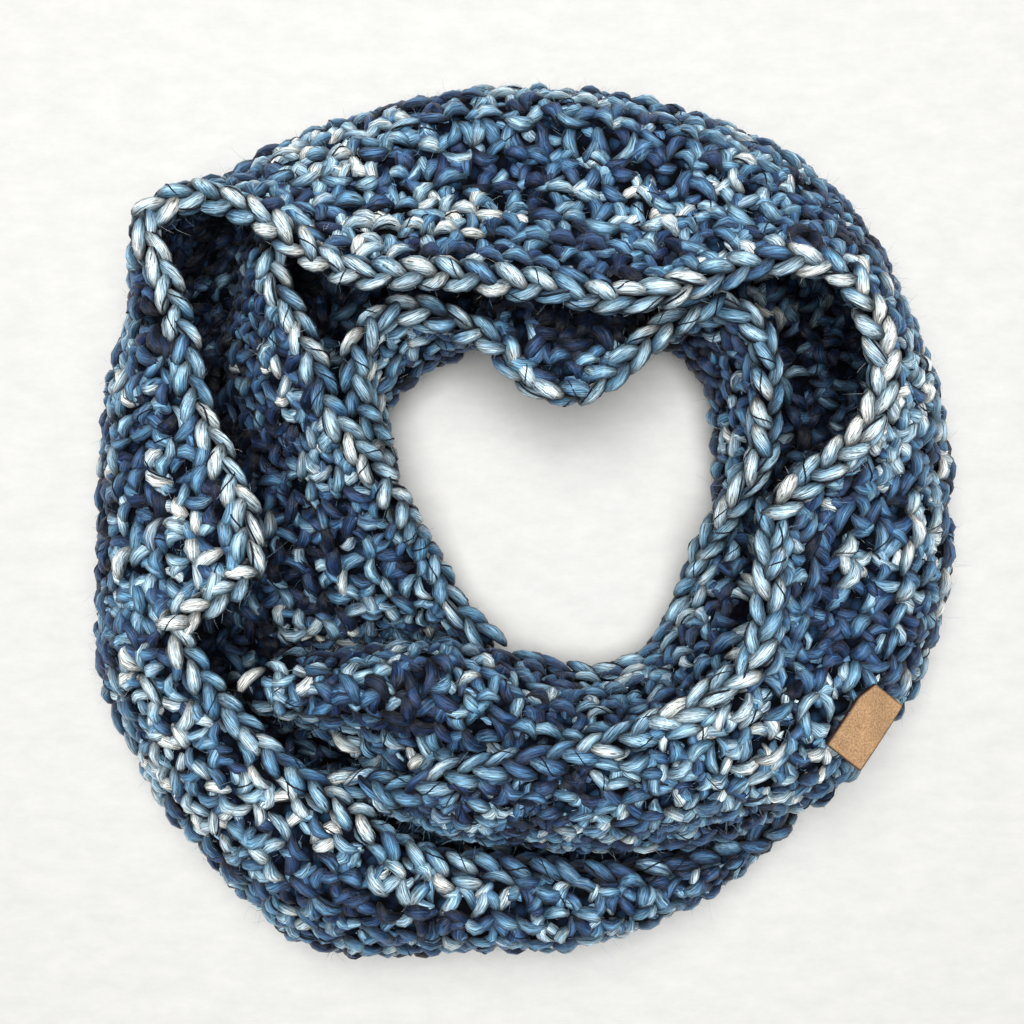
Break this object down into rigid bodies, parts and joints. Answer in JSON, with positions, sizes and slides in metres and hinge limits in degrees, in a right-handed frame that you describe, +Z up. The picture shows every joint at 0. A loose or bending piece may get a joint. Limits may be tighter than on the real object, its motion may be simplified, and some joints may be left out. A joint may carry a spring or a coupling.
{
  "type": "infinity scarf",
  "caption": "Chunky crocheted infinity scarf laid down as a wound ring, with braided edges, a raised corner and a small sewn leather tag.",
  "frame": {"origin": "on the surface that the scarf lies on, under the middle of its bounding box", "axes": "+Z up through the neck opening, +Y towards the side whose lobe hangs into the opening, +X towards the side with the leather tag"},
  "size_m": [0.3614, 0.3628, 0.0943],
  "materials": {
    "yarn": "soft roving yarn, crocheted, matt with a silky nap",
    "leather": "tan leather with dark cut edges"
  },
  "bodies": {
    "root": {"over_bottom": "yarn", "outer_right": "yarn", "outer_top": "yarn", "outer_corner": "yarn", "outer_left": "yarn", "under_bottom": "yarn", "inner_bottom": "yarn", "inner_right": "yarn", "inner_top": "yarn", "inner_left": "yarn", "leather_tag": "leather"}
  },
  "joints": []
}
